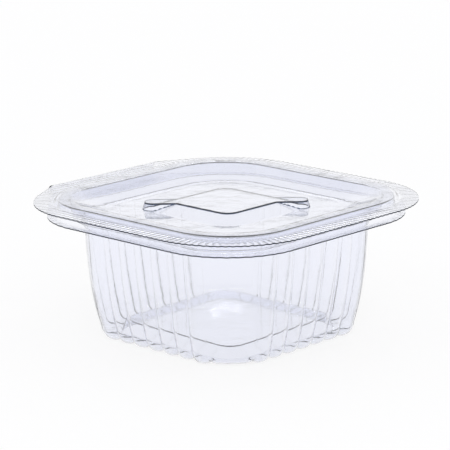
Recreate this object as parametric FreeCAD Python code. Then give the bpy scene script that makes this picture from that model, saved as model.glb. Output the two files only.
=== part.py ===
import FreeCAD, Part
import math
import os

from FreeCAD import Vector

# Clear thermoformed clamshell pack: a fluted tub and a hinged lid, both formed from one thin
# sheet. Millimetres. The foot rests on z = 0, and the hinge is on the +Y side.

SIZES = [
    ("sheet_thickness", 0.45, "formed sheet, tub and lid"),
    ("rim_core", 29.0, "centres of all rim corner arcs, from the middle"),
    ("rim_bend", 0.8, "inside radius of the bends in both rims"),
    ("tub_height", 50.8, "foot to the top of the tub flange"),
    ("tub_flange_half", 62.5, "middle to the cut edge of the tub flange"),
    ("tub_flange_width", 3.6, "tub flange, from its cut edge to the bead"),
    ("bead_height", 6.65, "rim bead above the tub flange"),
    ("bead_outer_run", 1.2, "outer side of the bead, foot to top"),
    ("bead_width", 4.7, "flat top of the bead"),
    ("bead_inner_run", 1.4, "inner side of the bead, top to shelf"),
    ("shelf_drop", 1.0, "shelf below the tub flange"),
    ("shelf_width", 2.6, "shelf, from the bead to a side's last crease"),
    ("flutes_per_side", 7, "flutes on one side"),
    ("wall_top_bow", 1.6, "bow of a side at the shelf"),
    ("wall_top_corner", 16.7, "side to last crease at the shelf"),
    ("wall_top_panel", 2.0, "corner panel bulge at the shelf"),
    ("wall_top_flute", 0.6, "flute height over its creases at the shelf"),
    ("belly_height", 27.0, "height of the belly section"),
    ("belly_in", 1.6, "belly inside the wall's top"),
    ("belly_bow", 0.9, "bow of a side at the belly"),
    ("belly_corner", 15.4, "side to last crease at the belly"),
    ("belly_panel", 1.7, "corner panel bulge at the belly"),
    ("belly_flute", 0.9, "flute height over its creases at the belly"),
    ("low_height", 12.0, "height of the low section"),
    ("low_in", 3.4, "low section inside the wall's top"),
    ("low_bow", 0.4, "bow of a side at the low section"),
    ("low_corner", 14.6, "side to last crease at the low section"),
    ("low_panel", 1.4, "corner panel bulge at the low section"),
    ("low_flute", 1.3, "flute height over its creases at the low section"),
    ("toe_height", 5.0, "height where the wall curves into the foot"),
    ("toe_in", 5.0, "start of that curve inside the wall's top"),
    ("toe_bow", 0.3, "bow of a side where that curve starts"),
    ("toe_corner", 13.7, "side to last crease where that curve starts"),
    ("toe_panel", 1.0, "corner panel bulge where that curve starts"),
    ("toe_flute", 1.6, "flute height over its creases where that curve starts"),
    ("foot_in", 9.8, "ring that the tub stands on, inside the wall's top"),
    ("foot_bow", 0.2, "bow of a side at that ring"),
    ("foot_corner", 10.2, "side to last crease at that ring"),
    ("foot_panel", 0.9, "corner panel bulge at that ring"),
    ("foot_flute", 2.6, "toe length over its creases at that ring"),
    ("foot_ring_width", 5.0, "ring that the tub stands on, at a crease"),
    ("floor_rise", 5.0, "underside of the raised floor above the table"),
    ("floor_run", 2.0, "side of the raised floor, foot to top"),
    ("floor_top_radius", 7.0, "raised floor, corner radius at the top"),
    ("lid_clearance", 0.3, "bead top to the underside of the lid rim"),
    ("lid_rim_rise", 1.5, "lid rim above the lid flange"),
    ("lid_rim_margin", 1.0, "outer top edge of the lid rim outside that of the bead"),
    ("lid_foot_margin", 0.8, "outer foot of the lid rim outside that of the bead"),
    ("lid_flange_width", 8.3, "lid flange, from its cut edge to the lid rim"),
    ("lid_rim_width", 5.7, "flat top of the lid rim"),
    ("recess_depth", 5.6, "recess floor below the lid rim"),
    ("recess_run", 12.4, "slope of the stacking recess, top to floor"),
    ("recess_top_radius", 24.0, "stacking recess, corner radius at the lid rim"),
    ("recess_floor_radius", 19.0, "recess floor corner radius"),
    ("boss_rise", 3.2, "boss above the recess floor"),
    ("boss_half", 17.5, "flat square top of the boss"),
    ("boss_radius", 5.0, "corner radius of that square"),
    ("boss_run", 8.5, "gentle slope round the boss, top to foot"),
    ("bar_reach", 34.0, "bar across the boss, middle to tip, along a diagonal"),
    ("bar_width", 8.0, "flat top of the bar"),
    ("bar_tip_radius", 3.4, "corner radius of a bar tip"),
    ("bar_run", 0.9, "steep side of the bar, top to foot"),
    ("hinge_overhang", 7.0, "fold line outside the cut edge of the lid flange"),
    ("hinge_corner", 3.0, "end of the hinge strip outside the centres of the corner arcs"),
    ("hinge_gap", 0.3, "gap between the two strips at the fold"),
]


def add_sheet(doc):
    """Write the driving sizes into a spreadsheet, one alias each."""
    sheet = doc.addObject("Spreadsheet::Sheet", "sizes")
    for row, (alias, value, note) in enumerate(SIZES, start=1):
        sheet.set("A%d" % row, alias)
        sheet.set("B%d" % row, str(value))
        sheet.set("C%d" % row, note)
        sheet.setAlias("B%d" % row, alias)
    doc.recompute()
    return sheet


class Sizes:
    """The sheet's values as plain numbers, with the widths and heights that follow."""

    def __init__(self, sheet):
        for alias, _, _ in SIZES:
            setattr(self, alias, float(sheet.get(alias)))
        self.bead_foot_half = self.tub_flange_half - self.tub_flange_width
        self.bead_outer_half = self.bead_foot_half - self.bead_outer_run
        self.bead_inner_half = self.bead_outer_half - self.bead_width
        self.shelf_half = self.bead_inner_half - self.bead_inner_run
        self.wall_half = self.shelf_half - self.shelf_width
        self.foot_half = self.wall_half - self.foot_in
        self.floor_foot_half = self.foot_half - self.foot_ring_width
        self.lid_rim_foot_half = self.bead_foot_half + self.lid_foot_margin
        self.lid_rim_outer_half = self.bead_outer_half + self.lid_rim_margin
        self.lid_flange_half = self.lid_rim_foot_half + self.lid_flange_width
        self.recess_top_half = self.lid_rim_outer_half - self.lid_rim_width
        self.recess_floor_half = self.recess_top_half - self.recess_run
        self.hinge_reach = self.lid_flange_half + self.hinge_overhang
        self.hinge_half_length = self.rim_core + self.hinge_corner
        self.shelf_z = self.tub_height - self.shelf_drop
        self.bead_top_z = self.tub_height + self.bead_height
        self.lid_rim_z = self.bead_top_z + self.lid_clearance + self.sheet_thickness
        self.lid_flange_z = self.lid_rim_z - self.lid_rim_rise
        self.recess_z = self.lid_rim_z - self.recess_depth
        self.boss_z = self.recess_z + self.boss_rise
        self.strip_low_z = self.tub_height - self.sheet_thickness
        self.strip_radius = (self.lid_flange_z - self.strip_low_z - self.hinge_gap) / 2.0
        self.strip_start = self.hinge_reach - self.hinge_gap / 2.0 - self.strip_radius


def unit(a, b):
    """Direction from a to b."""
    return (b - a).normalize()


def corner_arc(before, corner, after, radius):
    """Fillet arc of one corner of a path: its start, middle and end point."""
    back = unit(corner, before)
    ahead = unit(corner, after)
    half_angle = back.getAngle(ahead) / 2.0
    reach = radius / math.tan(half_angle)
    centre = corner + (back + ahead).normalize() * (radius / math.sin(half_angle))
    start = corner + back * reach
    end = corner + ahead * reach
    middle = centre + unit(centre, corner) * radius
    return start, middle, end


def path_edges(points, radii, closed):
    """Lines through points, with a fillet arc at each corner whose radius isn't 0."""
    count = len(points)
    edges = []
    pen = None
    first = None
    for i in range(count):
        inner = closed or 0 < i < count - 1
        if inner and radii[i] > 0:
            before = points[(i - 1) % count]
            after = points[(i + 1) % count]
            start, middle, end = corner_arc(before, points[i], after, radii[i])
            if pen is not None and pen.distanceToPoint(start) > 1e-6:
                edges.append(Part.LineSegment(pen, start).toShape())
            edges.append(Part.Arc(start, middle, end).toShape())
            first = first or start
            pen = end
        else:
            if pen is not None:
                edges.append(Part.LineSegment(pen, points[i]).toShape())
            first = first or points[i]
            pen = points[i]
    if closed and pen.distanceToPoint(first) > 1e-6:
        edges.append(Part.LineSegment(pen, first).toShape())
    return edges


def outline(points, radii):
    """Closed filleted wire."""
    return Part.Wire(path_edges(points, radii, True))


def rounded_square(half, radius, z):
    """Closed square wire with equal corner arcs."""
    corners = [(half, -half), (half, half), (-half, half), (-half, -half)]
    return outline([Vector(x, y, z) for x, y in corners], [radius] * 4)


def rim_square(s, half, z):
    """Rounded square whose corner arcs share the centres of the rims."""
    return rounded_square(half, half - s.rim_core, z)


def prism(wire, height):
    """Solid above a flat wire."""
    return Part.Face(wire).extrude(Vector(0, 0, height))


def frustum(wires):
    """Straight-sided solid through wires with as many edges each."""
    return Part.makeLoft(wires, True, True)


def offset_points(points, distance):
    """Points of a path in the XZ plane, moved to its right by distance."""
    normals = []
    for a, b in zip(points, points[1:]):
        along = unit(a, b)
        normals.append(Vector(along.z, 0, -along.x))
    moved = [points[0] + normals[0] * distance]
    for i in range(1, len(points) - 1):
        bisector = (normals[i - 1] + normals[i]).normalize()
        moved.append(points[i] + bisector * (distance / bisector.dot(normals[i])))
    moved.append(points[-1] + normals[-1] * distance)
    return moved


def sheet_section(points, bend, thickness):
    """Face between a path and its parallel, with bends of one inside radius."""
    near = [0.0]
    far = [0.0]
    for a, b, c in zip(points, points[1:], points[2:]):
        right_turn = unit(a, b).cross(unit(b, c)).y > 0
        near.append(bend + thickness if not right_turn else bend)
        far.append(bend if not right_turn else bend + thickness)
    near.append(0.0)
    far.append(0.0)
    other = offset_points(points, thickness)
    edges = path_edges(points, near, False)
    edges += path_edges(other, far, False)
    edges.append(Part.LineSegment(points[0], other[0]).toShape())
    edges.append(Part.LineSegment(points[-1], other[-1]).toShape())
    return Part.Face(Part.Wire(Part.__sortEdges__(edges)))


def rim_ring(s, profile):
    """Sheet profile carried round the rounded square: four sides and four corners."""
    face = sheet_section([Vector(x, 0, z) for x, z in profile], s.rim_bend, s.sheet_thickness)
    side = face.translated(Vector(0, -s.rim_core, 0)).extrude(Vector(0, 2 * s.rim_core, 0))
    corner = face.translated(Vector(0, s.rim_core, 0))
    corner = corner.revolve(Vector(s.rim_core, s.rim_core, 0), Vector(0, 0, 1), 90)
    pieces = []
    for turn in range(4):
        for piece in (side, corner):
            copy = piece.copy()
            copy.rotate(Vector(0, 0, 0), Vector(0, 0, 1), 90 * turn)
            pieces.append(copy)
    return pieces[0].multiFuse(pieces[1:])


def fluted_wire(s, half, bow, corner, panel, flute, z):
    """Wall section: flutes along each bowed side and one plain panel across each corner."""
    count = int(s.flutes_per_side)
    crease = half - corner
    edges = []
    for turn in range(4):
        spin = FreeCAD.Rotation(Vector(0, 0, 1), 90 * turn)
        step = 2 * crease / count
        for k in range(count):
            low = -crease + k * step
            high = low + step
            low_x = half + bow * (1 - (low / crease) ** 2)
            high_x = half + bow * (1 - (high / crease) ** 2)
            crown = Vector((low_x + high_x) / 2 + flute, low + step / 2, z)
            points = (Vector(low_x, low, z), crown, Vector(high_x, high, z))
            edges.append(Part.Arc(*[spin.multVec(p) for p in points]).toShape())
        reach = (half + crease) / 2 + panel / math.sqrt(2)
        points = (Vector(half, crease, z), Vector(reach, reach, z), Vector(crease, half, z))
        edges.append(Part.Arc(*[spin.multVec(p) for p in points]).toShape())
    return Part.Wire(edges)


def wall_sections(s, inset):
    """Wall sections from the foot up, moved inwards by inset."""
    corner_inset = inset * (2 - math.sqrt(2))
    foot = (s.foot_half, s.foot_bow, s.foot_corner, s.foot_panel, s.foot_flute)
    toe = (s.wall_half - s.toe_in, s.toe_bow, s.toe_corner, s.toe_panel, s.toe_flute)
    sections = []
    steps = 5
    for i in range(steps):
        angle = math.radians(90.0 * i / steps)
        share = math.sin(angle)
        values = [a + (b - a) * share for a, b in zip(foot, toe)]
        z = inset + (s.toe_height - inset) * (1 - math.cos(angle))
        sections.append((values, z))
    sections.append((toe, s.toe_height))
    low = (s.wall_half - s.low_in, s.low_bow, s.low_corner, s.low_panel, s.low_flute)
    sections.append((low, s.low_height))
    belly = (s.wall_half - s.belly_in, s.belly_bow, s.belly_corner, s.belly_panel, s.belly_flute)
    sections.append((belly, s.belly_height))
    top = (s.wall_half, s.wall_top_bow, s.wall_top_corner, s.wall_top_panel, s.wall_top_flute)
    sections.append((top, s.shelf_z))
    wires = []
    for (half, bow, corner, panel, flute), z in sections:
        moved = (half - inset, bow, corner - corner_inset, panel, flute)
        wires.append(fluted_wire(s, *moved, z))
    return wires


def raised_floor(s, lift):
    """Hollow under the floor, with its sides carried up by lift."""
    slope = s.floor_run / s.floor_rise
    foot_half = s.floor_foot_half + slope * lift
    foot_radius = s.floor_top_radius + s.floor_run + slope * lift
    foot = rounded_square(foot_half, foot_radius, 0)
    top_half = s.floor_foot_half - s.floor_run
    top = rounded_square(top_half, s.floor_top_radius, s.floor_rise + lift)
    return frustum([foot, top])


def hinge_tab(s, flange_half, top_z):
    """Flange plate between the rounded corners and the start of the hinge strip."""
    radius = flange_half - s.rim_core
    end = Vector(s.hinge_half_length, s.strip_start, 0)
    centre = Vector(s.rim_core, s.rim_core, 0)
    away = end - centre
    turn = math.acos(radius / away.Length)
    angle = math.atan2(away.y, away.x) - turn
    touch = centre + Vector(math.cos(angle), math.sin(angle), 0) * radius
    corners = [(touch.x, s.rim_core), (touch.x, touch.y), (end.x, end.y)]
    corners += [(-x, y) for x, y in reversed(corners)]
    points = [Vector(x, y, top_z - s.sheet_thickness) for x, y in corners]
    return prism(Part.makePolygon(points + points[:1]), s.sheet_thickness)


def hinge_strip(s, z, side):
    """Quarter-round strip from a flange to the fold line; side is 1 for up, -1 for down."""
    inner = s.strip_radius - s.sheet_thickness
    length = 2 * s.hinge_half_length
    left = -s.hinge_half_length
    along = Vector(1, 0, 0)
    round_bar = Part.makeCylinder(s.strip_radius, length, Vector(left, s.strip_start, z), along)
    hollow = Part.makeCylinder(inner, length, Vector(left, s.strip_start, z), along)
    low = z - s.strip_radius if side > 0 else z
    corner = Vector(left, s.strip_start, low)
    quarter = Part.makeBox(length, s.strip_radius, s.strip_radius, corner)
    return round_bar.cut(hollow).common(quarter)


def tub_shape(s):
    """Foot, fluted wall, raised floor, rim and the lower half of the hinge."""
    wall = frustum(wall_sections(s, 0))
    hollow_wires = wall_sections(s, s.sheet_thickness)
    hollow = frustum(hollow_wires)
    inside = hollow.cut(raised_floor(s, s.sheet_thickness))
    body = wall.cut(inside).cut(raised_floor(s, 0))

    opening = prism(hollow_wires[-1].translated(Vector(0, 0, -2 * s.sheet_thickness)), 5)
    shelf = prism(rim_square(s, s.shelf_half, s.shelf_z - s.sheet_thickness), s.sheet_thickness)
    shelf = shelf.cut(opening)

    profile = [
        (s.tub_flange_half, s.tub_height),
        (s.bead_foot_half, s.tub_height),
        (s.bead_outer_half, s.bead_top_z),
        (s.bead_inner_half, s.bead_top_z),
        (s.shelf_half, s.shelf_z),
        (s.shelf_half - s.sheet_thickness - s.rim_bend * 1.2, s.shelf_z),
    ]
    rim = rim_ring(s, profile[::-1]).cut(opening)
    keep_out = rim_square(s, s.bead_foot_half + s.rim_bend, s.tub_height - 1)
    tab = hinge_tab(s, s.tub_flange_half, s.tub_height).cut(prism(keep_out, 5))
    strip = hinge_strip(s, s.strip_low_z + s.strip_radius, 1)
    return rim.multiFuse([body, shelf, tab, strip])


def boss_wire(s, grow, z):
    """Square top of the boss, grown on all sides."""
    return rounded_square(s.boss_half + grow, s.boss_radius + grow, z)


def bar_wire(s, grow, z):
    """Top of the bar, which lies along the diagonal from +X -Y to -X +Y, grown on all sides."""
    reach = s.bar_reach + grow
    half = s.bar_width / 2 + grow
    spin = FreeCAD.Rotation(Vector(0, 0, 1), -45)
    corners = [(reach, -half), (reach, half), (-reach, half), (-reach, -half)]
    points = [spin.multVec(Vector(x, y, z)) for x, y in corners]
    return outline(points, [s.bar_tip_radius + grow] * 4)


def raised_form(s, wire, run, inset):
    """Form above the recess floor with sloping sides, moved in from its surface by inset."""
    angle = math.atan2(s.boss_rise, run)
    edge = inset * math.tan(angle / 2)
    below = s.sheet_thickness - inset
    foot_z = s.recess_z - s.sheet_thickness
    foot = wire(s, run * (1 + below / s.boss_rise) - edge, foot_z)
    top = wire(s, -edge, s.boss_z - inset)
    return frustum([foot, top])


def boss_form(s, inset):
    """Boss with its bar."""
    body = raised_form(s, boss_wire, s.boss_run, inset)
    return body.fuse(raised_form(s, bar_wire, s.bar_run, inset))


def recess_form(s, drop):
    """Stacking recess, with its surfaces carried down by drop."""
    slope = (s.recess_top_half - s.recess_floor_half) / s.recess_depth
    bend = (s.recess_top_radius - s.recess_floor_radius) / s.recess_depth
    low = rounded_square(s.recess_floor_half, s.recess_floor_radius, s.recess_z - drop)
    high_half = s.recess_top_half + slope * drop
    high = rounded_square(high_half, s.recess_top_radius + bend * drop, s.lid_rim_z)
    return frustum([low, high])


def lid_shape(s):
    """Rim, recess, boss, flange and the upper half of the hinge."""
    dish = recess_form(s, s.sheet_thickness).cut(recess_form(s, 0))
    boss_inner = boss_form(s, s.sheet_thickness)
    boss = boss_form(s, 0).cut(boss_inner)
    dish = dish.cut(boss_inner)
    profile = [
        (s.recess_top_half + s.sheet_thickness, s.lid_rim_z),
        (s.lid_rim_outer_half, s.lid_rim_z),
        (s.lid_rim_foot_half, s.lid_flange_z),
        (s.lid_flange_half, s.lid_flange_z),
    ]
    rim = rim_ring(s, profile)
    keep_out = rim_square(s, s.lid_rim_foot_half + s.rim_bend, s.lid_flange_z - 1)
    tab = hinge_tab(s, s.lid_flange_half, s.lid_flange_z).cut(prism(keep_out, 5))
    strip = hinge_strip(s, s.lid_flange_z - s.strip_radius, -1)
    return rim.multiFuse([dish, boss, tab, strip])


def add_part(doc, name, shape):
    """Put one finished sheet part in the document."""
    part = doc.addObject("Part::Feature", name)
    part.Label = name
    part.Shape = shape
    part.Placement = FreeCAD.Placement()
    return part


def check(doc, parts):
    """Stop if an object failed or a part isn't one sound solid."""
    for item in doc.Objects:
        if "Invalid" in item.State or "Error" in item.State:
            raise RuntimeError("%s is not valid" % item.Label)
    for part in parts:
        if part.Shape.isNull() or not part.Shape.isValid():
            raise RuntimeError("%s has no valid shape" % part.Label)
        if len(part.Shape.Solids) != 1:
            raise RuntimeError("%s has %d solids" % (part.Label, len(part.Shape.Solids)))


def main():
    """Build the pack and write one STEP file for each part."""
    os.makedirs("parts", exist_ok=True)
    doc = FreeCAD.newDocument("clamshell_pack")
    s = Sizes(add_sheet(doc))
    parts = [add_part(doc, "tub", tub_shape(s)), add_part(doc, "lid", lid_shape(s))]
    doc.recompute()
    check(doc, parts)
    for part in parts:
        print(part.Label, round(part.Shape.Volume, 1), part.Shape.BoundBox)
        part.Shape.exportStep("parts/%s.step" % part.Label)


main()
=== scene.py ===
"""Clear hinged food pack of formed PET sheet: a fluted tub and a lid with a knurled flange.

Every length is in millimetres until a mesh is made, and the foot stands on z = 0.
"""

import logging
import math
from dataclasses import dataclass
from enum import Enum
from typing import Dict, List, Optional, Sequence, Tuple

import bmesh
import bpy
from mathutils import Matrix, Vector


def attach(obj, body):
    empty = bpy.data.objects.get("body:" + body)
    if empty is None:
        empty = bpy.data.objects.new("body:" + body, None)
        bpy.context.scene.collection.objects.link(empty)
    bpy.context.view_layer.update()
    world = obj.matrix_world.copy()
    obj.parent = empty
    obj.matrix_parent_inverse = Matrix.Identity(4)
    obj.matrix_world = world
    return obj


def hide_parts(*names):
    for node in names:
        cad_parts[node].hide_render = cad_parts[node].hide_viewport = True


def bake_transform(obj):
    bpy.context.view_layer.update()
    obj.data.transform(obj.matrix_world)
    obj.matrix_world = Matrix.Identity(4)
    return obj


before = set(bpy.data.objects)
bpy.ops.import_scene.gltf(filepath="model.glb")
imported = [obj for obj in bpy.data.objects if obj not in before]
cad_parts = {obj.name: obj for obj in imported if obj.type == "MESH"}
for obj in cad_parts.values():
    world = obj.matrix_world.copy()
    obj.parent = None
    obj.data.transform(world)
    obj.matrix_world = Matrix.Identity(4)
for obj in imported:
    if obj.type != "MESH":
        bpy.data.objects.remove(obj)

LOG = logging.getLogger("food_pack")
MM = 0.001
PET_IOR = 1.575
SMOOTH_ANGLE = math.radians(35)
FARTHEST = 60.0
HALVINGS = 26
Profile = List[Tuple[float, float]]


def srgb(code: str) -> Tuple[float, float, float, float]:
    """Turn an sRGB hex colour into linear RGBA.

    Args:
        code: Six hex digits after a hash.

    Returns:
        Linear red, green, blue and an alpha of 1.
    """
    values = []
    for start in (1, 3, 5):
        part = int(code[start:start + 2], 16) / 255
        values.append(part / 12.92 if part <= 0.04045 else ((part + 0.055) / 1.055) ** 2.4)
    return (values[0], values[1], values[2], 1.0)


def add_node(tree: bpy.types.NodeTree, kind: str, settings: Optional[Dict] = None,
             links: Optional[Dict] = None) -> bpy.types.Node:
    """Add a node, set its values and link its inputs.

    Args:
        tree: Node tree that gets the node.
        kind: Node type, such as ShaderNodeMath.
        settings: Property names, or input names and numbers, to their values.
        links: Input names or numbers to the output sockets that feed them.

    Returns:
        The new node.
    """
    node = tree.nodes.new(kind)
    for key, value in (settings or {}).items():
        if isinstance(key, str) and hasattr(node, key):
            setattr(node, key, value)
        else:
            node.inputs[key].default_value = value
    for key, socket in (links or {}).items():
        tree.links.new(socket, node.inputs[key])
    return node


def new_material(name: str) -> Tuple[bpy.types.Material, bpy.types.NodeTree, bpy.types.Node]:
    """Make a material with its shader.

    Args:
        name: Material name.

    Returns:
        The material, its node tree and its Principled shader.
    """
    material = bpy.data.materials.new(name)
    material.use_nodes = True
    return material, material.node_tree, material.node_tree.nodes["Principled BSDF"]


def add_noise(tree: bpy.types.NodeTree, size_mm: float) -> bpy.types.Node:
    """Add a noise fixed to the piece.

    Args:
        tree: Node tree that gets the noise.
        size_mm: Size of its spots.

    Returns:
        The noise node.
    """
    place = add_node(tree, "ShaderNodeTexCoord")
    return add_node(tree, "ShaderNodeTexNoise", {"Scale": 1 / (size_mm * MM), "Detail": 2.0},
                    {"Vector": place.outputs["Object"]})


class Side(Enum):
    """Which way a hinge strip curls."""

    UP = 1
    DOWN = -1


@dataclass(frozen=True)
class ClearPet:
    """Thermoformed clear PET sheet.

    It is glossy from the roll and takes a slight waviness from the mould. Its colour is painted
    slate blue where the eye meets it at a low angle: painted shade for the dark lines that clear
    sheet shows there, where the light travels along the sheet.
    """

    name: str
    face_colour: str = "#F8F9FE"
    painted_grazing_shade: str = "#46546F"
    painted_shade_power: float = 12.0
    roughness: float = 0.03
    rough_spots: float = 2.5
    ripple_mm: float = 9.0
    ripple_height: float = 0.10

    def build(self) -> bpy.types.Material:
        """Make the material.

        Returns:
            The material.
        """
        material, tree, shader = new_material(self.name)
        # Painted shade: the base colour turns slate blue as the view grazes the sheet.
        facing = add_node(tree, "ShaderNodeLayerWeight", {"Blend": 0.5})
        curve = add_node(tree, "ShaderNodeMath", {"operation": "POWER", 1: self.painted_shade_power},
                         {0: facing.outputs["Facing"]})
        tint_and_painted_shade = add_node(tree, "ShaderNodeMix", {"data_type": "RGBA", 6: srgb(self.face_colour),
                                                7: srgb(self.painted_grazing_shade)},
                        {0: curve.outputs[0]})
        tree.links.new(tint_and_painted_shade.outputs[2], shader.inputs["Base Color"])
        ripple = add_noise(tree, self.ripple_mm)
        haze = add_node(tree, "ShaderNodeMapRange",
                        {"To Min": self.roughness, "To Max": self.roughness * self.rough_spots},
                        {"Value": ripple.outputs[0]})
        tree.links.new(haze.outputs[0], shader.inputs["Roughness"])
        bump = add_node(tree, "ShaderNodeBump", {"Strength": self.ripple_height,
                                                 "Distance": 1.0 * MM},
                        {"Height": ripple.outputs[0]})
        tree.links.new(bump.outputs[0], shader.inputs["Normal"])
        shader.inputs["Transmission Weight"].default_value = 1.0
        shader.inputs["IOR"].default_value = PET_IOR
        return material


@dataclass(frozen=True)
class CutEdge:
    """Die-cut edge of the sheet, drawn opaque and dark: painted shade for the dark line that the
    light guided inside the sheet gives there.
    """

    name: str
    darker_painted_shade: str = "#0A1426"
    paler_painted_shade: str = "#182640"
    edge_mottle_mm: float = 0.6
    roughness: float = 0.5
    specular: float = 0.2

    def build(self) -> bpy.types.Material:
        """Make the material.

        Returns:
            The material.
        """
        material, tree, shader = new_material(self.name)
        # Painted shade: two dark blues, mixed by a noise.
        edge_mottle = add_noise(tree, self.edge_mottle_mm)
        shade = add_node(tree, "ShaderNodeMix", {"data_type": "RGBA", 6: srgb(self.darker_painted_shade),
                                                 7: srgb(self.paler_painted_shade)},
                         {0: edge_mottle.outputs[0]})
        tree.links.new(shade.outputs[2], shader.inputs["Base Color"])
        shader.inputs["Roughness"].default_value = self.roughness
        shader.inputs["Specular IOR Level"].default_value = self.specular
        return material


@dataclass(frozen=True)
class TightBend:
    """Sheet bent round a small radius, given a dark base colour: painted shade for the dark line
    that such a bend shows where it carries the light away.
    """

    name: str
    paler_painted_shade: str = "#4A5B7A"
    darker_painted_shade: str = "#20304C"
    bend_mottle_mm: float = 2.0
    roughness: float = 0.1

    def build(self) -> bpy.types.Material:
        """Make the material.

        Returns:
            The material.
        """
        material, tree, shader = new_material(self.name)
        # Painted shade: two dark blues, mixed by a noise.
        bend_mottle = add_noise(tree, self.bend_mottle_mm)
        shade = add_node(tree, "ShaderNodeMix", {"data_type": "RGBA", 6: srgb(self.paler_painted_shade),
                                                 7: srgb(self.darker_painted_shade)},
                         {0: bend_mottle.outputs[0]})
        tree.links.new(shade.outputs[2], shader.inputs["Base Color"])
        shader.inputs["Transmission Weight"].default_value = 1.0
        shader.inputs["Roughness"].default_value = self.roughness
        shader.inputs["IOR"].default_value = PET_IOR
        return material


@dataclass(frozen=True)
class Track:
    """Points round a rounded square, in step from one outline to the next."""

    side_steps: int
    corner_steps: int

    @property
    def count(self) -> int:
        """Number of points in one loop."""
        return 4 * (self.side_steps + self.corner_steps)

    def place(self, index: int) -> Tuple[int, bool, float]:
        """Say where a point lies.

        Args:
            index: Point number, counted from the start of the +X side.

        Returns:
            Quarter turn, whether it is on a corner, and the share of that side or corner.
        """
        quarter, rest = divmod(index, self.side_steps + self.corner_steps)
        if rest < self.side_steps:
            return quarter, False, rest / self.side_steps
        return quarter, True, (rest - self.side_steps) / self.corner_steps

    def ray(self, index: int, core: float) -> Tuple[Vector, Vector]:
        """Give the line that a point moves on as the outline grows.

        Args:
            index: Point number.
            core: Half side of the square that the corners turn about.

        Returns:
            The line's foot on that square, and its direction.
        """
        quarter, corner, share = self.place(index)
        if corner:
            angle = share * math.pi / 2
            foot, way = Vector((core, core)), Vector((math.cos(angle), math.sin(angle)))
        else:
            foot, way = Vector((core, core * (2 * share - 1))), Vector((1.0, 0.0))
        spin = Matrix.Rotation(quarter * math.pi / 2, 2)
        return spin @ foot, spin @ way

    def square(self, half: float, radius: float, z: float) -> List[Vector]:
        """Loop on a rounded square.

        Args:
            half: Middle to a straight side.
            radius: Corner radius.
            z: Height.

        Returns:
            The loop's points.
        """
        points = []
        for index in range(self.count):
            foot, way = self.ray(index, half - radius)
            spot = foot + way * radius
            points.append(Vector((spot.x, spot.y, z)))
        return points


def bent(profile: Profile, radius: float, steps: int = 4) -> Profile:
    """Round the inner corners of a profile. Its two ends only lead into the first and last bend.

    Args:
        profile: Corner points.
        radius: Bend radius.
        steps: Points on each bend, less one.

    Returns:
        The profile with each inner corner replaced by an arc.
    """
    result = [profile[0]]
    for before, corner, after in zip(profile, profile[1:], profile[2:]):
        point = Vector(corner)
        back = (Vector(before) - point).normalized()
        ahead = (Vector(after) - point).normalized()
        half_angle = back.angle(ahead) / 2
        reach = radius / math.tan(half_angle)
        centre = point + (back + ahead).normalized() * (radius / math.sin(half_angle))
        start, end = point + back * reach - centre, point + ahead * reach - centre
        for step in range(steps + 1):
            share = step / steps
            spoke = start.lerp(end, share).normalized() * radius
            result.append(tuple(centre + spoke))
    result.append(profile[-1])
    return result


def smooth_between(stations: Sequence[Sequence[float]], z: float) -> List[float]:
    """Values at height z on smooth curves through stations.

    Args:
        stations: Rows of height and values, from the highest down.
        z: Height asked for.

    Returns:
        The values at z.
    """
    last = len(stations) - 2
    pair = next((i for i in range(last + 1) if z >= stations[i + 1][0]), last)
    a, b = stations[pair], stations[pair + 1]
    before = stations[max(pair - 1, 0)]
    after = stations[min(pair + 2, last + 1)]
    span = b[0] - a[0]
    t = (z - a[0]) / span
    values = []
    for k in range(1, len(a)):
        slope_a = (b[k] - before[k]) / (b[0] - before[0]) * span
        slope_b = (after[k] - a[k]) / (after[0] - a[0]) * span
        values.append((2 * t ** 3 - 3 * t ** 2 + 1) * a[k] + (t ** 3 - 2 * t ** 2 + t) * slope_a
                      + (3 * t ** 2 - 2 * t ** 3) * b[k] + (t ** 3 - t ** 2) * slope_b)
    return values


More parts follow.
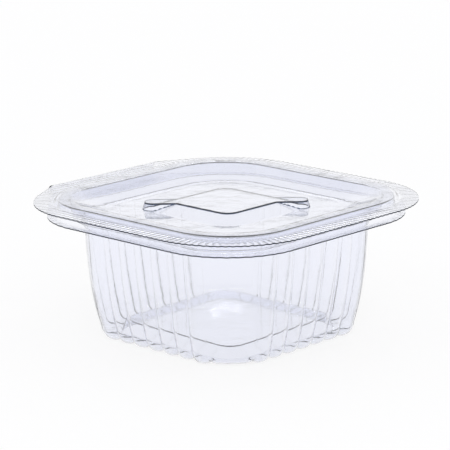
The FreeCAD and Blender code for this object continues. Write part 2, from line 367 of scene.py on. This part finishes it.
@dataclass
class FormedSheet:
    """A sheet drawn loop by loop from its cut edge to its middle, then given its thickness.

    core is half the side of the square that the corners turn about, and close the distance
    within which two places count as one.
    """

    name: str
    body: str
    node: str
    thickness: float = 0.45
    core: float = 29.0
    hinge_reach: float = 75.0
    hinge_half_length: float = 32.0
    hinge_gap: float = 0.3
    strip_radius: float = 3.025
    strip_steps: int = 8
    close: float = 0.05

    @property
    def strip_start(self) -> float:
        """Y where the flange ends and the quarter-round strip begins."""
        return self.hinge_reach - self.hinge_gap / 2 - self.strip_radius

    def flange_reach(self, track: Track, index: int, half: float) -> float:
        """Distance from the core to the flange's cut edge, which runs out to the hinge.

        Args:
            track: Spacing of the loops.
            index: Point number.
            half: Flange width from the middle, away from the hinge.

        Returns:
            The distance in millimetres.
        """
        radius = half - self.core
        foot, way = track.ray(index, self.core)
        if way.y <= 0 or foot.y < self.core - self.close:
            return radius
        away = Vector((self.hinge_half_length - self.core, self.strip_start - self.core))
        touch = math.atan2(away.x, away.y) + math.acos(radius / away.length)
        turn = math.atan2(abs(way.x), way.y)
        if turn >= touch:
            return radius
        straight = (self.strip_start - self.core) / math.cos(turn)
        if abs(foot.x) + straight * math.sin(turn) <= self.hinge_half_length:
            return straight
        return radius / math.cos(touch - turn)

    def begin(self, points: Sequence[Vector]) -> bpy.types.Object:
        """Add the cut edge as a circle and lay it on its outline.

        Args:
            points: The cut edge.

        Returns:
            The new object, in edit mode.
        """
        bpy.ops.object.select_all(action="DESELECT")
        bpy.ops.mesh.primitive_circle_add(vertices=len(points), radius=FARTHEST * MM)
        sheet = bpy.context.object
        sheet.name = sheet.data.name = self.name
        for vertex, point in zip(sheet.data.vertices, points):
            vertex.co = point * MM
        bpy.ops.object.mode_set(mode="EDIT")
        bpy.ops.mesh.select_all(action="SELECT")
        return sheet

    def draw(self, sheet: bpy.types.Object, points: Sequence[Vector]) -> None:
        """Extrude the selected loop and lay the new one on its points.

        Args:
            sheet: Object in edit mode.
            points: Places of the new loop.
        """
        bpy.ops.mesh.extrude_edges_move()
        mesh = bmesh.from_edit_mesh(sheet.data)
        order = mesh.verts.layers.int["order"]
        for vertex in [v for v in mesh.verts if v.select]:
            vertex.co = points[vertex[order]] * MM
        bmesh.update_edit_mesh(sheet.data)

    def number(self, sheet: bpy.types.Object) -> None:
        """Number the first loop's points, so that each extruded copy keeps its number.

        Args:
            sheet: Object in edit mode.
        """
        mesh = bmesh.from_edit_mesh(sheet.data)
        order = mesh.verts.layers.int.new("order")
        mesh.verts.ensure_lookup_table()
        for index, vertex in enumerate(mesh.verts):
            vertex[order] = index
        bmesh.update_edit_mesh(sheet.data)

    def form(self, loops: Sequence[Sequence[Vector]]) -> bpy.types.Object:
        """Draw all loops and close the middle with one flat face.

        Args:
            loops: Loops from the cut edge to the middle.

        Returns:
            The sheet, still without thickness.
        """
        sheet = self.begin(loops[0])
        self.number(sheet)
        for points in loops[1:]:
            self.draw(sheet, points)
        bpy.ops.mesh.edge_face_add()
        bpy.ops.mesh.select_all(action="SELECT")
        bpy.ops.mesh.normals_make_consistent(inside=False)
        bpy.ops.object.mode_set(mode="OBJECT")
        return sheet

    def curl_hinge(self, sheet: bpy.types.Object, side: Side) -> None:
        """Extrude the straight edge at the hinge through a quarter round to the fold line.

        Args:
            sheet: Flat sheet.
            side: The way the strip curls.
        """
        bpy.ops.object.mode_set(mode="EDIT")
        bpy.ops.mesh.select_mode(type="EDGE")
        bpy.ops.mesh.select_all(action="DESELECT")
        mesh = bmesh.from_edit_mesh(sheet.data)
        limit = (self.strip_start - self.close) * MM
        for edge in mesh.edges:
            edge.select = edge.is_boundary and all(v.co.y > limit for v in edge.verts)
        bmesh.update_edit_mesh(sheet.data)
        radius = self.strip_radius - (self.thickness if side is Side.UP else 0.0)
        last_y, last_z = 0.0, 0.0
        for step in range(1, self.strip_steps + 1):
            angle = step / self.strip_steps * math.pi / 2
            y, z = radius * math.sin(angle), radius * (1 - math.cos(angle)) * side.value
            bpy.ops.mesh.extrude_edges_move(
                TRANSFORM_OT_translate={"value": (0, (y - last_y) * MM, (z - last_z) * MM)})
            last_y, last_z = y, z
        bpy.ops.mesh.select_all(action="SELECT")
        bpy.ops.mesh.normals_make_consistent(inside=False)
        bpy.ops.mesh.select_mode(type="VERT")
        bpy.ops.object.mode_set(mode="OBJECT")

    def thicken(self, sheet: bpy.types.Object, face: bpy.types.Material,
                edge: bpy.types.Material) -> None:
        """Turn the sheet's faces up, give it its wall and its first two materials.

        Args:
            sheet: Formed sheet without thickness.
            face: Material of the sheet.
            edge: Material of the cut edge, painted shade.
        """
        flange = min(sheet.data.polygons, key=lambda p: p.center.y + abs(p.center.x))
        if flange.normal.z < 0:
            sheet.data.flip_normals()
        sheet.data.materials.append(face)
        sheet.data.materials.append(edge)
        wall = sheet.modifiers.new("wall", "SOLIDIFY")
        wall.thickness = self.thickness * MM
        wall.offset = -1.0
        wall.use_even_offset = True
        wall.use_quality_normals = True
        wall.material_offset_rim = 1
        bpy.context.view_layer.objects.active = sheet
        sheet.select_set(True)
        bpy.ops.object.modifier_apply(modifier="wall")
        bpy.ops.object.shade_smooth_by_angle(angle=SMOOTH_ANGLE)
        sheet.select_set(False)

    def place(self, sheet: bpy.types.Object) -> None:
        """Ride on the body and stand for the CAD node, which it hides.

        Args:
            sheet: Finished sheet.
        """
        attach(sheet, self.body)
        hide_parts(self.node)
        LOG.info("%s: %d faces", self.name, len(sheet.data.polygons))


@dataclass(frozen=True)
class WallSection:
    """Outside of the fluted wall at one height.

    half is the middle to a side at its last crease, bow how far the side's middle stands out,
    corner the step from half to the last crease, panel the bulge of the corner panel and flute
    the height of a flute over its creases.
    """

    z: float
    half: float
    bow: float
    corner: float
    panel: float
    flute: float

    def row(self) -> Tuple[float, ...]:
        """Give the section as one row.

        Returns:
            Height, half, bow, corner, panel and flute.
        """
        return (self.z, self.half, self.bow, self.corner, self.panel, self.flute)


@dataclass
class Tub(FormedSheet):
    """The tub, drawn on its food side: flange, bead, shelf, fluted wall, toes and raised floor.

    knurl is the depth of the flange's ribs from point to point. A shelf row says how far one loop
    of the bend under the shelf lies below it and outside the wall, and how much of the wall's bow
    and flutes it has.
    """

    name: str = "tub_sheet"
    body: str = "tub_body"
    node: str = "tub"
    height: float = 50.8
    flange_half: float = 62.5
    bead_foot_half: float = 58.9
    bead_outer_half: float = 57.7
    bead_inner_half: float = 53.0
    bead_height: float = 6.65
    shelf_half: float = 51.6
    shelf_drop: float = 1.0
    rib_height: float = 0.14
    rib_stop: float = 66.0
    knurl: Tuple[float, ...] = (0.0, 0.5, 1.0, 0.5)
    flange_shares: Tuple[float, ...] = (0.0, 0.3, 0.6, 0.85, 1.0)
    plain_margin: float = 1.2
    bend_radius: float = 0.8
    flutes: int = 7
    flute_steps: int = 18
    corner_steps: int = 44
    crease_share: float = 0.93
    crowding: float = 0.75
    toe_lift: float = 1.3
    panel_toe: float = 6.0
    wall_steps: int = 12
    toe_steps: int = 9
    shelf_rows: Tuple[Tuple[float, float, float, float], ...] = (
        (0.0, 0.35, 0.8, 0.6), (0.12, 0.12, 0.9, 0.8), (0.45, 0.0, 1.0, 1.0))
    wall: Tuple[WallSection, ...] = (
        WallSection(49.8, 49.0, 1.6, 16.7, 2.0, 0.6),
        WallSection(27.0, 47.4, 0.9, 15.4, 1.7, 0.9),
        WallSection(12.0, 45.6, 0.4, 14.6, 1.4, 1.3),
        WallSection(5.0, 44.0, 0.3, 13.7, 1.0, 1.6),
    )
    foot: WallSection = WallSection(0.0, 39.2, 0.2, 10.2, 0.9, 2.6)
    floor_foot_half: float = 34.2
    floor_rise: float = 5.0
    floor_run: float = 2.0
    floor_radius: float = 7.0
    floor_bend: float = 0.5

    @property
    def track(self) -> Track:
        """Spacing of the loops: whole flutes on a side."""
        return Track(self.flutes * self.flute_steps, self.corner_steps)

    def flute_form(self, part: float) -> float:
        """Give the height of a flute: a parabola with rounded creases.

        Args:
            part: Place across the flute, from 0 at one crease to 1 at the next.

        Returns:
            Height from 0 at the creases to 1 at the crown.
        """
        off_crown = abs(2 * part - 1)
        edge = self.crease_share
        if off_crown < edge:
            form = 1 - off_crown ** 2
        else:
            form = 1 - edge + edge * (1 - edge) * ((1 - off_crown) / (1 - edge)) ** 2
        return (form - (1 - edge)) / edge

    def fluted(self, row: Sequence[float], inset: float, lift: float = 0.0) -> List[Vector]:
        """Loop on a wall section, moved in by inset.

        Args:
            row: Height, half, bow, corner, panel and flute.
            inset: Distance inside the section.
            lift: How far the creases stand above the crowns.

        Returns:
            The loop's points.
        """
        z, half, bow, corner, panel, flute = row
        crease = half - corner - inset * (math.sqrt(2) - 1)
        half -= inset
        points = []
        for index in range(self.track.count):
            quarter, on_corner, share = self.track.place(index)
            if on_corner:
                out = panel * (1 - (2 * share - 1) ** 2) / math.sqrt(2)
                spot = Vector((half + (crease - half) * share + out,
                               crease + (half - crease) * share + out))
                near = max(0.0, 1 - self.panel_toe * min(share, 1 - share))
                rise = lift * near ** 2
            else:
                number, part = divmod(share * self.flutes + 1e-9, 1.0)
                part -= self.crowding * math.sin(2 * math.pi * part) / (2 * math.pi)
                share = (number + part) / self.flutes
                first = number * 2 / self.flutes - 1
                last = first + 2 / self.flutes
                base = (1 - part) * (1 - first ** 2) + part * (1 - last ** 2)
                form = self.flute_form(part)
                spot = Vector((half + bow * base + flute * form, crease * (2 * share - 1)))
                rise = lift * (1 - form) ** 1.5
            spot = Matrix.Rotation(quarter * math.pi / 2, 2) @ spot
            points.append(Vector((spot.x, spot.y, z + rise)))
        return points

    def flange_loops(self) -> List[List[Vector]]:
        """Lay out the knurled flange.

        Returns:
            Loops from the cut edge in.
        """
        track = self.track
        inner = self.bead_foot_half + self.plain_margin - self.core
        loops = []
        for share in self.flange_shares:
            points = []
            for index in range(track.count):
                reach = self.flange_reach(track, index, self.flange_half)
                foot, way = track.ray(index, self.core)
                spot = foot + way * (reach + (inner - reach) * share)
                ribbed = share < 1.0 and spot.y < self.rib_stop
                wave = self.knurl[index % len(self.knurl)] * self.rib_height
                points.append(Vector((spot.x, spot.y, self.height - (wave if ribbed else 0.0))))
            loops.append(points)
        return loops

    def rim_loops(self) -> List[List[Vector]]:
        """Lay out the bead and the shelf.

        Returns:
            Loops from the flange in.
        """
        top = self.height + self.bead_height
        shelf = self.height - self.shelf_drop
        corners = [(self.bead_foot_half + self.plain_margin, self.height),
                   (self.bead_foot_half, self.height),
                   (self.bead_outer_half, top), (self.bead_inner_half, top),
                   (self.shelf_half, shelf), (self.shelf_half - 1.0, shelf)]
        profile = bent(corners, self.bend_radius, 3)[1:-2]
        return [self.track.square(half, half - self.core, z) for half, z in profile]

    def wall_loops(self) -> List[List[Vector]]:
        """Lay out the fluted wall and its curve into the toes.

        Returns:
            Loops from the shelf down to the foot.
        """
        t = self.thickness
        rows = [section.row() for section in self.wall]
        top, half, bow, corner, panel, flute = rows[0]
        loops = []
        for drop, out, bow_part, flute_part in self.shelf_rows:
            row = (top - drop, half + out, bow * bow_part, corner, panel, flute * flute_part)
            loops.append(self.fluted(row, t))
        toe_z = rows[-1][0]
        for step in range(1, self.wall_steps + 1):
            z = top - t + (toe_z - top + t) * step / self.wall_steps
            loops.append(self.fluted((z, *smooth_between(rows, z)), t))
        start, end = rows[-1], self.foot.row()
        for step in range(1, self.toe_steps + 1):
            angle = math.radians(90 * (1 - step / self.toe_steps))
            share = math.sin(angle)
            row = [b + (a - b) * share for a, b in zip(start, end)]
            row[0] = t + (toe_z - t) * (1 - math.cos(angle))
            row[1] += t * (1 - share)
            loops.append(self.fluted(row, t, self.toe_lift * (1 - share)))
        return loops

    def floor_loops(self) -> List[List[Vector]]:
        """Lay out the ring that the tub stands on, and the raised floor.

        Returns:
            Loops from the ring in.
        """
        low, high = self.thickness, self.floor_rise + self.thickness
        foot = self.floor_foot_half
        profile = bent([(foot + 1.5, low), (foot + 0.1, low),
                        (foot - self.floor_run + 0.1, high), (foot - self.floor_run - 1.5, high)],
                       self.floor_bend)
        loops = []
        for half, z in profile:
            radius = self.floor_radius + half - (foot - self.floor_run)
            loops.append(self.track.square(half, radius, z))
        return loops

    def build(self, face: bpy.types.Material, edge: bpy.types.Material) -> bpy.types.Object:
        """Form, thicken and place the tub.

        Args:
            face: Material of the sheet.
            edge: Material of the cut edge, painted shade.

        Returns:
            The tub.
        """
        loops = self.flange_loops() + self.rim_loops() + self.wall_loops() + self.floor_loops()
        sheet = self.form(loops)
        self.curl_hinge(sheet, Side.UP)
        self.thicken(sheet, face, edge)
        self.place(sheet)
        return sheet


def soft_min(a: float, b: float, blend: float) -> float:
    """Take the smaller of two values, rounded where they are close.

    Args:
        a: One value.
        b: The other value.
        blend: Difference below which the step between them is rounded.

    Returns:
        The rounded smaller value.
    """
    return min(a, b) - max(blend - abs(a - b), 0.0) ** 2 / (4 * blend)


@dataclass(frozen=True)
class RaisedForm:
    """Flat-topped form with rounded corners and sloping sides, turned about its middle.

    run is the width of the slope, bend the rounding at its top and foot, and lip a short drop
    straight outside the edge of the top.
    """

    half_x: float
    half_y: float
    radius: float
    run: float
    rise: float
    bend: float
    turn: float = 0.0
    lip: float = 0.0
    lip_run: float = 0.25

    def outside(self, spot: Vector) -> float:
        """Measure how far a spot is outside the flat top.

        Args:
            spot: Place in plan.

        Returns:
            The distance, negative inside the top.
        """
        turned = Matrix.Rotation(-self.turn, 2) @ spot
        over = Vector((abs(turned.x) - self.half_x + self.radius,
                       abs(turned.y) - self.half_y + self.radius))
        beyond = Vector((max(over.x, 0.0), max(over.y, 0.0))).length
        return beyond + min(max(over.x, over.y), 0.0) - self.radius

    def height(self, spot: Vector) -> float:
        """Measure the form's height over the recess floor.

        Args:
            spot: Place in plan.

        Returns:
            The height.
        """
        out = self.outside(spot)
        step = self.lip * min(max(out / self.lip_run, 0.0), 1.0)
        line = (self.rise - step) * (1 - out / self.run)
        return -soft_min(-soft_min(line, self.rise, self.bend), 0.0, self.bend)

    def reach(self, way: Vector, grow: float) -> float:
        """Measure from the middle to the outline of the top.

        Args:
            way: Direction.
            grow: How much the outline is grown first.

        Returns:
            The distance.
        """
        low, high = 0.0, FARTHEST
        for _ in range(HALVINGS):
            middle = (low + high) / 2
            if self.outside(way * middle) < grow:
                low = middle
            else:
                high = middle
        return low


@dataclass
class Lid(FormedSheet):
    """The lid, drawn on its upper side: flange, rim, stacking recess and boss.

    A flange row is a share of the way in from the cut edge and how much of the ribs shows there.
    A boss row is how far the outlines of the bar and of the square are grown for one loop.
    """

    name: str = "lid_sheet"
    body: str = "lid_body"
    node: str = "lid"
    rim_z: float = 58.2
    rim_rise: float = 1.5
    rim_foot_half: float = 59.7
    rim_outer_half: float = 58.7
    flange_half: float = 68.0
    ribs_per_side: int = 22
    ribs_per_corner: int = 21
    rib_steps: int = 5
    rib_height: float = 0.2
    recess_top_half: float = 53.0
    recess_top_radius: float = 24.0
    recess_depth: float = 5.6
    recess_floor_half: float = 40.6
    recess_floor_radius: float = 19.0
    plain_margin: float = 0.9
    rim_bend: float = 0.6
    recess_bend: float = 6.0
    boss_middle: float = 8.0
    square_bend: float = 0.28
    bar_bend: float = 0.18
    foot_bend: float = 0.34
    flange_rows: Tuple[Tuple[float, float], ...] = (
        (0.0, 1.0), (0.12, 1.0), (0.5, 1.0), (0.82, 1.0), (0.93, 0.4), (1.0, 0.0))
    boss_rows: Tuple[Tuple[float, float], ...] = (
        (1.8, 10.5), (1.3, 9.3), (1.05, 8.6), (0.9, 8.0), (0.81, 7.3), (0.72, 6.5), (0.63, 5.6),
        (0.54, 4.6), (0.45, 3.6), (0.36, 2.4), (0.26, 0.9), (0.18, 0.28), (0.09, 0.15),
        (0.0, 0.02), (-0.12, -0.1), (-0.4, -0.7), (-1.2, -2.2))
    square: RaisedForm = RaisedForm(17.5, 17.5, 5.0, 8.5, 3.2, 0.1, lip=0.45)
    bar: RaisedForm = RaisedForm(34.0, 4.0, 3.4, 0.9, 3.2, 0.2, -math.pi / 4)

    @property
    def track(self) -> Track:
        """Spacing of the loops: whole ribs on a side and on a corner."""
        return Track(self.ribs_per_side * self.rib_steps, self.ribs_per_corner * self.rib_steps)

    def flange_loops(self) -> List[List[Vector]]:
        """Lay out the knurled flange.

        Returns:
            Loops from the cut edge in.
        """
        track = self.track
        flange_z = self.rim_z - self.rim_rise
        inner = self.rim_foot_half + self.plain_margin - self.core
        loops = []
        for share, show in self.flange_rows:
            points = []
            for index in range(track.count):
                reach = self.flange_reach(track, index, self.flange_half)
                foot, way = track.ray(index, self.core)
                spot = foot + way * (reach + (inner - reach) * share)
                phase = index % self.rib_steps / self.rib_steps
                wave = (0.5 - 0.5 * math.cos(2 * math.pi * phase)) * self.rib_height
                at_strip = share == 0.0 and spot.y > self.strip_start - self.close
                points.append(Vector((spot.x, spot.y,
                                      flange_z - (0.0 if at_strip else wave * show))))
            loops.append(points)
        return loops

    def rim_loops(self) -> List[List[Vector]]:
        """Lay out the raised rim and the slope of the stacking recess.

        Returns:
            Loops from the flange in.
        """
        flange_z = self.rim_z - self.rim_rise
        corners = [(self.rim_foot_half + self.plain_margin, flange_z),
                   (self.rim_foot_half, flange_z),
                   (self.rim_outer_half, self.rim_z), (self.rim_outer_half - 2, self.rim_z)]
        loops = [self.track.square(half, half - self.core, z)
                 for half, z in bent(corners, self.rim_bend, 3)[1:-1]]
        floor_z = self.rim_z - self.recess_depth
        top, low = self.recess_top_half, self.recess_floor_half
        slope = bent([(top + 3, self.rim_z), (top, self.rim_z), (low, floor_z),
                      (low - 4, floor_z)], self.recess_bend, 6)
        for half, z in slope[1:-1]:
            share = min(max((top - half) / (top - low), 0.0), 1.0)
            radius = self.recess_top_radius
            radius += (self.recess_floor_radius - radius) * share
            if half > top:
                radius += half - top
            loops.append(self.track.square(half, radius, z))
        return loops

    def boss_loops(self) -> List[List[Vector]]:
        """Lay out the boss with gentle slopes, and the steep bar along its diagonal.

        Returns:
            Loops from the recess floor to the middle of the boss.
        """
        floor_z = self.rim_z - self.recess_depth
        guide = self.track.square(self.recess_floor_half, self.recess_floor_radius, 0.0)
        ways = [spot.xy.normalized() for spot in guide]
        loops = []
        for bar_grow, square_grow in self.boss_rows:
            points = []
            for way in ways:
                reach = max(self.bar.reach(way, bar_grow), self.square.reach(way, square_grow))
                spot = way * reach
                high = max(self.square.height(spot), self.bar.height(spot))
                points.append(Vector((spot.x, spot.y, floor_z + high)))
            loops.append(points)
        top_z = floor_z + self.square.rise
        loops.append([(way * self.boss_middle).to_3d() + Vector((0, 0, top_z)) for way in ways])
        return loops

    def tight(self, centre: Vector) -> bool:
        """Say whether a face lies on the boss's top edge or along the foot of the bar, where shade
        is painted.

        Args:
            centre: Middle of the face.

        Returns:
            True on a tight bend.
        """
        spot = centre.xy
        off_bar = self.bar.outside(spot)
        top = min(self.square.outside(spot) / self.square_bend, off_bar / self.bar_bend)
        over = self.bar.height(spot) - self.square.height(spot)
        on_side = self.bar_bend < off_bar < self.bar.run
        return 0.0 < top < 1.0 or (on_side and 0.0 < over < self.foot_bend)

    def build(self, face: bpy.types.Material, edge: bpy.types.Material,
              bend: bpy.types.Material) -> bpy.types.Object:
        """Form, thicken and place the lid.

        Args:
            face: Material of the sheet.
            edge: Material of the cut edge, painted shade.
            bend: Painted-shade material of the tight bends.

        Returns:
            The lid.
        """
        sheet = self.form(self.flange_loops() + self.rim_loops() + self.boss_loops())
        self.curl_hinge(sheet, Side.DOWN)
        # Faces on the tight bends get the painted-shade material.
        for polygon in sheet.data.polygons:
            polygon.material_index = 2 if self.tight(polygon.center / MM) else 0
        self.thicken(sheet, face, edge)
        sheet.data.materials.append(bend)
        self.place(sheet)
        return sheet


@dataclass
class FoldLine:
    """Scored web of sheet between the two hinge strips."""

    reach: float = 75.0
    height: float = 53.525
    gap: float = 0.3
    thickness: float = 0.45
    scored_share: float = 0.6
    overlap: float = 0.25
    half_length: float = 32.0

    def build(self, face: bpy.types.Material) -> bpy.types.Object:
        """Model the web as a thin flat bar across the joint.

        Args:
            face: Material of the sheet.

        Returns:
            The web.
        """
        bpy.ops.object.select_all(action="DESELECT")
        depth = self.thickness * self.scored_share
        outer = self.reach - self.gap / 2
        bpy.ops.mesh.primitive_cube_add(
            size=1.0, location=(0, (outer - self.thickness / 2) * MM, self.height * MM),
            scale=(2 * self.half_length * MM, depth * MM, (self.gap + 2 * self.overlap) * MM))
        web = bpy.context.object
        web.name = web.data.name = "fold_web"
        bpy.ops.object.transform_apply(location=True, rotation=True, scale=True)
        bpy.ops.object.mode_set(mode="EDIT")
        bpy.ops.mesh.select_all(action="SELECT")
        bpy.ops.mesh.subdivide(number_cuts=4)
        bpy.ops.object.mode_set(mode="OBJECT")
        web.data.materials.append(face)
        bpy.ops.object.shade_smooth_by_angle(angle=SMOOTH_ANGLE)
        web.select_set(False)
        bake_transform(web)
        LOG.info("fold_web: %d faces", len(web.data.polygons))
        return web


@dataclass(frozen=True)
class Lamp:
    """Strip light, aimed at the pack: its place and length in metres and its power in watts."""

    name: str
    place: Tuple[float, float, float]
    length: float
    power: float


@dataclass
class Studio:
    """White table, soft light and the camera of the photograph.

    The glow is what the table gives to the eye. Through clear sheet it fades from glow_near to
    glow_far, in metres from the pack, so that bends which look far aside are a little darker:
    painted shade.
    """

    azimuth: float = 46.72
    elevation: float = 13.92
    roll: float = 0.516
    focal_px: float = 2407.1
    frame_px: float = 450.0
    distance: float = 1003.75
    aim_height: float = 45.14
    aim_side: float = -0.67
    table_colour: str = "#6C6C6E"
    glow: float = 0.86
    far_glow: float = 0.55
    glow_near: float = 0.5
    glow_far: float = 1.0
    fill: float = 0.75
    ceiling: float = 0.75
    ceiling_start: float = 0.35
    ceiling_end: float = 0.7
    table_size: float = 12.0
    table_drop: float = 0.0002
    sensor: float = 36.0
    far_clip: float = 20.0
    lamp_width: float = 0.02
    lamp_aim: float = 0.03
    strips: Tuple[Lamp, ...] = (Lamp("back_strip", (0.60, 0.56, 0.50), 0.10, 0.02),
                                Lamp("front_strip", (-0.55, -0.51, 0.58), 0.7, 1.2))

    def camera(self) -> None:
        """Set the camera at the photograph's angle, far back with a long lens."""
        azimuth, elevation = math.radians(self.azimuth), math.radians(self.elevation)
        ahead = Vector((math.sin(azimuth) * math.cos(elevation),
                        math.cos(azimuth) * math.cos(elevation), -math.sin(elevation)))
        right = Vector((math.cos(azimuth), -math.sin(azimuth), 0))
        up = right.cross(ahead)
        turn = math.radians(self.roll)
        across = right * math.cos(turn) - up * math.sin(turn)
        above = right * math.sin(turn) + up * math.cos(turn)
        aim = right * self.aim_side + Vector((0, 0, self.aim_height))
        data = bpy.data.cameras.new("camera")
        data.sensor_width = self.sensor
        data.lens = self.focal_px / self.frame_px * data.sensor_width
        data.clip_end = self.far_clip
        camera = bpy.data.objects.new("camera", data)
        bpy.context.scene.collection.objects.link(camera)
        axes = Matrix((across, above, -ahead)).transposed()
        eye = Matrix.Translation((aim - ahead * self.distance) * MM)
        camera.matrix_world = eye @ axes.to_4x4()
        bpy.context.scene.camera = camera

    def table(self) -> None:
        """Lay a wide white table that keeps the pack's shadow."""
        bpy.ops.object.select_all(action="DESELECT")
        bpy.ops.mesh.primitive_plane_add(size=self.table_size,
                                         location=(0, 0, -self.table_drop))
        table = bpy.context.object
        table.name = "table"
        material, tree, shader = new_material("matt white board")
        shader.inputs["Base Color"].default_value = srgb(self.table_colour)
        shader.inputs["Roughness"].default_value = 0.9
        shader.inputs["Specular IOR Level"].default_value = 0.1
        seen = self.seen(tree)
        # Painted shade: seen through the sheet, the table's glow fades with distance from the
        # pack.
        place = add_node(tree, "ShaderNodeTexCoord")
        away = add_node(tree, "ShaderNodeVectorMath", {"operation": "LENGTH"},
                        {0: place.outputs["Object"]})
        glow_with_painted_fade = add_node(tree, "ShaderNodeMapRange",
                       {"From Min": self.glow_near, "From Max": self.glow_far,
                        "To Min": self.glow, "To Max": self.far_glow},
                       {"Value": away.outputs["Value"]})
        path = add_node(tree, "ShaderNodeLightPath")
        through = add_node(tree, "ShaderNodeMix", {"data_type": "FLOAT", 2: self.glow},
                           {0: path.outputs["Is Transmission Ray"], 3: glow_with_painted_fade.outputs[0]})
        lift = add_node(tree, "ShaderNodeMath", {"operation": "MULTIPLY"},
                        {0: seen.outputs[0], 1: through.outputs[0]})
        shader.inputs["Emission Color"].default_value = (1, 1, 1, 1)
        tree.links.new(lift.outputs[0], shader.inputs["Emission Strength"])
        table.data.materials.append(material)
        table.select_set(False)

    def seen(self, tree: bpy.types.NodeTree) -> bpy.types.Node:
        """Tell the rays that end in the eye from those that only light a matt surface.

        Args:
            tree: Node tree that gets the nodes.

        Returns:
            A node that gives one for rays from the camera, from gloss and through clear sheet.
        """
        path = add_node(tree, "ShaderNodeLightPath")
        first = add_node(tree, "ShaderNodeMath", {"operation": "ADD"},
                         {0: path.outputs["Is Camera Ray"], 1: path.outputs["Is Glossy Ray"]})
        return add_node(tree, "ShaderNodeMath", {"operation": "ADD", "use_clamp": True},
                        {0: first.outputs[0], 1: path.outputs["Is Transmission Ray"]})

    def surroundings(self) -> None:
        """Surround the pack with white, less bright overhead in gloss and through sheet."""
        world = bpy.data.worlds.new("white studio")
        bpy.context.scene.world = world
        world.use_nodes = True
        tree = world.node_tree
        background = tree.nodes["Background"]
        background.inputs["Color"].default_value = (1, 1, 1, 1)
        seen = self.seen(tree)
        place = add_node(tree, "ShaderNodeTexCoord")
        split = add_node(tree, "ShaderNodeSeparateXYZ", {}, {0: place.outputs["Generated"]})
        ceiling = add_node(tree, "ShaderNodeMapRange",
                           {"From Min": self.ceiling_start, "From Max": self.ceiling_end,
                            "To Min": 1.0, "To Max": self.ceiling},
                           {"Value": split.outputs["Z"]})
        path = add_node(tree, "ShaderNodeLightPath")
        through = add_node(tree, "ShaderNodeMix", {"data_type": "FLOAT", 3: 1.0},
                           {0: path.outputs["Is Camera Ray"], 2: ceiling.outputs[0]})
        level = add_node(tree, "ShaderNodeMix", {"data_type": "FLOAT", 2: self.fill},
                         {0: seen.outputs[0], 3: through.outputs[0]})
        tree.links.new(level.outputs[0], background.inputs["Strength"])

    def lamps(self) -> None:
        """Hang two strip lights, a short one behind the pack and a long one before it."""
        for strip in self.strips:
            data = bpy.data.lights.new(strip.name, "AREA")
            data.shape = "RECTANGLE"
            data.size = strip.length
            data.size_y = self.lamp_width
            data.energy = strip.power
            lamp = bpy.data.objects.new(strip.name, data)
            bpy.context.scene.collection.objects.link(lamp)
            lamp.location = strip.place
            aim = Vector((0, 0, self.lamp_aim)) - Vector(strip.place)
            lamp.rotation_euler = aim.to_track_quat("-Z", "Y").to_euler()

    def build(self) -> None:
        """Set up table, surroundings, lamps and camera."""
        self.table()
        self.surroundings()
        self.lamps()
        self.camera()
        bpy.context.scene.view_settings.view_transform = "Standard"


def corners(box: Sequence[Vector]) -> List[List[float]]:
    """Turn a box into plain numbers.

    Args:
        box: Lowest and highest corner.

    Returns:
        The corners as lists.
    """
    return [[float(value) for value in corner] for corner in box]


def main() -> None:
    """Build the pack piece by piece, then the studio."""
    logging.basicConfig(level=logging.INFO, format="%(message)s")
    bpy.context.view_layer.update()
    face = ClearPet("clear PET sheet").build()
    edge = CutEdge("PET cut edge painted shade").build()
    Tub().build(face, edge)
    Lid().build(face, edge, TightBend("PET tight bend painted shade").build())
    FoldLine().build(face)
    Studio().build()


if __name__ == "__main__":
    main()
